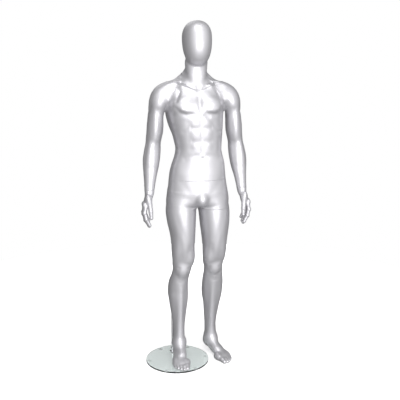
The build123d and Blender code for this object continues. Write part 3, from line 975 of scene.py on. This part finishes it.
def plastic(name, dark, light, roughness, scale, solid=1.0):
    """Moulded plastic or rubber with a fine matt grain."""
    material, tree, shader = new_material(name, Roughness=roughness, Alpha=solid)
    grain = noise(tree, scale, 3.0)
    tree.links.new(tint(tree, spread(tree, grain, 0, 1), dark, light), shader.inputs["Base Color"])
    bump(tree, shader, grain, 0.15, 0.0003)
    return material


MATERIALS = {
    "paint": silver_paint(),
    "base_glass": clear_glass(),
    "clear_pad": plastic("clear_pad", (0.86, 0.88, 0.88, 1), (0.92, 0.93, 0.93, 1), 0.3, 300, 0.2),
    "white_plastic": plastic("white_plastic", (0.78, 0.78, 0.76, 1), (0.86, 0.86, 0.84, 1), 0.45, 400),
    "black_rubber": plastic("black_rubber", (0.015, 0.015, 0.016, 1), (0.03, 0.03, 0.03, 1), 0.7, 600),
    "chrome": metal("chrome", (0.72, 0.72, 0.74, 1), (0.82, 0.82, 0.84, 1), 0.06, 0.12, 240, (1, 1, 0.1),
                    0.03),
    "black_steel": metal("black_steel", (0.03, 0.03, 0.035, 1), (0.06, 0.06, 0.065, 1), 0.4, 0.55, 500),
    "zinc_steel": metal("zinc_steel", (0.50, 0.52, 0.54, 1), (0.64, 0.65, 0.66, 1), 0.28, 0.44, 90),
}
for part in frame["record"]["subparts"]:
    node = frame["nodes"][part["node"]]
    if not node.material_slots:
        node.data.materials.append(None)
    for place in node.material_slots:
        place.material = MATERIALS[part["material_slot"]]

# ---- the moulded pieces --------------------------------------------------------------------------
torso_part, pelvis_part = torso_masses(), pelvis_masses()
right_leg = leg_masses(RIGHT_LEG, -1, RIGHT_FOOT)
left_leg = leg_masses(LEFT_LEG, 1, LEFT_FOOT)
rod_x, rod_y = rod_middle[0] - MIDLINE, rod_middle[1]
ROD_BORE, SOCKET_BORE = 7.6, 9.2  # radii that clear the calf rod and the calf socket
rod_bores = [
    bore(rod_x, rod_y, 60, socket_low[2] + 1, ROD_BORE),
    bore(rod_x, rod_y, socket_low[2], socket_high[2] + 2, SOCKET_BORE),
]
UP = (0, 0, 1)
DOWN = (0, 0, -1)
GRIP = 26.0  # how far past a cut the masses run before they are cut
SHOULDER_MASSES = 2  # of an arm, which also shape the torso
THIGH_MASSES = 4  # of a leg, which also shape the pelvis


def shoulder_cut(side):
    """The place and normal of a shoulder's cut, leaving the torso."""
    place, axis = joint("left_arm_swing" if side > 0 else "right_arm_swing")
    normal = np.array((side * abs(axis[0]), 0, abs(axis[2])))
    return place, normal


def beyond_neck(side, low):
    """True near one shoulder's cut, but not on the neck, the head or the flank."""
    return lambda co: side * (co.x - CHEST) > 68 and low < co.z < 1600


# torso
arm_roots = [mass for side in (1, -1) for mass in above(arm_masses(side)[:SHOULDER_MASSES], 1400)]
points, quads = skin(torso_part + arm_roots, (-290, -150, WAIST_Z - 20), (290, 170, 1870), BODY_STEP,
                     trunk_relief)
bm = to_bmesh(points, quads)
cut(bm, (0, 0, WAIST_Z + SEAM), DOWN, spigot_profile("waist"))
for side, name in ((1, "left"), (-1, "right")):
    place, normal = shoulder_cut(side)
    cut(bm, place - normal * SEAM, normal, socket_profile(f"{name}_shoulder"), beyond_neck(side, 1380))
finish_piece("torso", bm, "torso", "torso_shell", MATERIALS["paint"])

# pelvis with the standing leg
lower_masses = pelvis_part + right_leg + above(left_leg[:THIGH_MASSES], THIGH_Z - GRIP) + rod_bores
right_relief = leg_relief(RIGHT_LEG, -1, RIGHT_FOOT)
left_relief = leg_relief(LEFT_LEG, 1, LEFT_FOOT)


def lower_relief(points, normals):
    return trunk_relief(points, normals) + right_relief(points, normals) * (points[:, 0] < 3)


points, quads = skin(lower_masses, (-200, -230, GLASS_TOP - 12), (210, 190, WAIST_Z + 20), BODY_STEP,
                     lower_relief, GLASS_TOP)
bm = to_bmesh(points, quads)
cut(bm, (0, 0, WAIST_Z), UP, socket_profile("waist"))
thigh_place = thigh_middle - (MIDLINE, 0, 0)
thigh_place[2] = THIGH_Z
cut(bm, thigh_place, DOWN, socket_profile("thigh"), lambda co: co.x > 3 and co.z > THIGH_Z - GRIP - 60)
finish_piece("pelvis_and_right_leg", bm, "lower_body", "lower_body_shell", MATERIALS["paint"])

# left leg
left_masses = [left_leg[0], seat(1)] + left_leg[1:]
points, quads = skin(left_masses, (-20, -160, -12), (220, 190, THIGH_Z + 20), BODY_STEP, left_relief, 0.0)
bm = to_bmesh(points, quads)
thigh_place[2] = THIGH_Z - SEAM
cut(bm, thigh_place, UP, spigot_profile("thigh"))
finish_piece("left_leg", bm, "left_leg", "left_leg_shell", MATERIALS["paint"])

# arms and hands
for side, name in ((1, "left"), (-1, "right")):
    wrist_place, _ = joint(f"{name}_hand_twist")
    place, normal = shoulder_cut(side)
    root = above([trunk_mass()] + torso_side(side), 1425)
    near, far = sorted((CHEST + side * 60, CHEST + side * 300))
    points, quads = skin(root + arm_masses(side), (near, -110, wrist_place[2] - 20), (far, 120, 1590),
                         LIMB_STEP, arm_relief(side))
    bm = to_bmesh(points, quads)
    cut(bm, place, -normal, spigot_profile(f"{name}_shoulder"), lambda co: co.z > ARMPIT_Z)
    cut(bm, wrist_place, DOWN, socket_profile(f"{name}_wrist"))
    finish_piece(f"{name}_arm", bm, f"{name}_arm", f"{name}_arm_shell", MATERIALS["paint"])

    near, far = sorted((CHEST + side * 200, CHEST + side * 320))
    points, quads = skin(hand_masses(side), (near, -120, 770), (far, 40, wrist_place[2] + 10), HAND_STEP,
                         hand_relief(side))
    bm = to_bmesh(points, quads)
    cut(bm, wrist_place - np.array((0, 0, SEAM)), UP, spigot_profile(f"{name}_wrist"))
    finish_piece(f"{name}_hand_skin", bm, f"{name}_hand", f"{name}_hand", MATERIALS["paint"])

# ---- floor, light and camera ---------------------------------------------------------------------
def stage_plane(name, corners, material):
    """One flat face that is part of the setting, not of the figure."""
    mesh = bpy.data.meshes.new(name)
    mesh.from_pydata(corners, [], [tuple(range(len(corners)))])
    plane = bpy.data.objects.new(name, mesh)
    plane.data.materials.append(material)
    bpy.context.scene.collection.objects.link(plane)
    return plane


def glowing_floor():
    """A white floor, lit near the base, with a painted glow that grows towards its edge so that it fades into the
    white behind it.
    """
    material, tree, shader = new_material("glowing_floor", Roughness=0.7)
    tone = tint(tree, spread(tree, noise(tree, 3.0), 0, 1), (0.90, 0.90, 0.90, 1), (0.93, 0.93, 0.93, 1))
    tree.links.new(tone, shader.inputs["Base Color"])
    shader.inputs["Emission Color"].default_value = (1, 1, 1, 1)
    where = tree.nodes.new("ShaderNodeTexCoord")
    distance = tree.nodes.new("ShaderNodeVectorMath")
    distance.operation = "LENGTH"
    tree.links.new(where.outputs["Object"], distance.inputs[0])
    # painted glow: the floor shines at half strength within 0.4 m of the base, rising to full white at 1.3 m out,
    # though it is no lamp
    glow = spread(tree, distance.outputs["Value"], 0.5, 1.0, 0.4, 1.3)
    tree.links.new(glow, shader.inputs["Emission Strength"])
    return material


FLOOR_RADIUS, FLOOR_SIDES = 2.4, 96
around = [2 * math.pi * k / FLOOR_SIDES for k in range(FLOOR_SIDES)]
corners = [(FLOOR_RADIUS * math.cos(a), FLOOR_RADIUS * math.sin(a), 0) for a in around]
floor = stage_plane("floor", corners, glowing_floor())
floor.visible_diffuse = False
floor.visible_glossy = False


def area_light(name, place, aim, width, height, power, colour=(1, 1, 1)):
    """A soft rectangular light of some watts, aimed at a point."""
    light = bpy.data.lights.new(name, "AREA")
    light.shape = "RECTANGLE"
    light.size, light.size_y, light.energy, light.color = width, height, power, colour
    lamp = bpy.data.objects.new(name, light)
    lamp.location = place
    lamp.rotation_euler = (Vector(aim) - Vector(place)).to_track_quat("-Z", "Y").to_euler()
    bpy.context.scene.collection.objects.link(lamp)


area_light("front", (0.5, -4.2, 1.5), (0.1, 0, 0.9), 3.2, 2.6, 100, (1, 0.99, 1))
area_light("back", (-0.6, 3.0, 4.0), (0.1, 0, 0.9), 2.6, 2.0, 14)
area_light("top", (0.0, -1.6, 4.2), (0.1, 0, 1.0), 2.4, 2.4, 45)


GLOW_WAY = (0.12, -0.94, 0.32)  # where the white glow stands, in front of the figure and above it


def studio_world():
    """White behind the figure, and for the light on it a broad glow in front that falls away to the back."""
    world = bpy.data.worlds.new("studio")
    world.use_nodes = True
    tree = world.node_tree
    background = tree.nodes["Background"]
    background.inputs["Color"].default_value = (1, 1, 1, 1)
    way = tree.nodes.new("ShaderNodeTexCoord")
    ahead = tree.nodes.new("ShaderNodeVectorMath")
    ahead.operation = "DOT_PRODUCT"
    ahead.inputs[1].default_value = GLOW_WAY
    tree.links.new(way.outputs["Generated"], ahead.inputs[0])
    glow = spread(tree, ahead.outputs["Value"], 0.2, 1.08, 0.0, 0.85)
    seen = tree.nodes.new("ShaderNodeLightPath")
    mix = tree.nodes.new("ShaderNodeMix")
    mix.inputs["B"].default_value = 1.0
    tree.links.new(seen.outputs["Is Camera Ray"], mix.inputs["Factor"])
    tree.links.new(glow, mix.inputs["A"])
    tree.links.new(mix.outputs["Result"], background.inputs["Strength"])
    return world


bpy.context.scene.world = studio_world()
bpy.context.scene.view_settings.view_transform = "Standard"

LENS, SENSOR = 59.34, 36
CAMERA_PLACE = (-0.4742, -3.4224, 1.658)
CAMERA_TILT, CAMERA_TURN = math.radians(77.94), math.radians(-10)
camera_data = bpy.data.cameras.new("camera")
camera_data.lens = LENS
camera_data.sensor_width = SENSOR
camera = bpy.data.objects.new("camera", camera_data)
camera.location = CAMERA_PLACE
camera.rotation_euler = (CAMERA_TILT, 0, CAMERA_TURN)
bpy.context.scene.collection.objects.link(camera)
bpy.context.scene.camera = camera
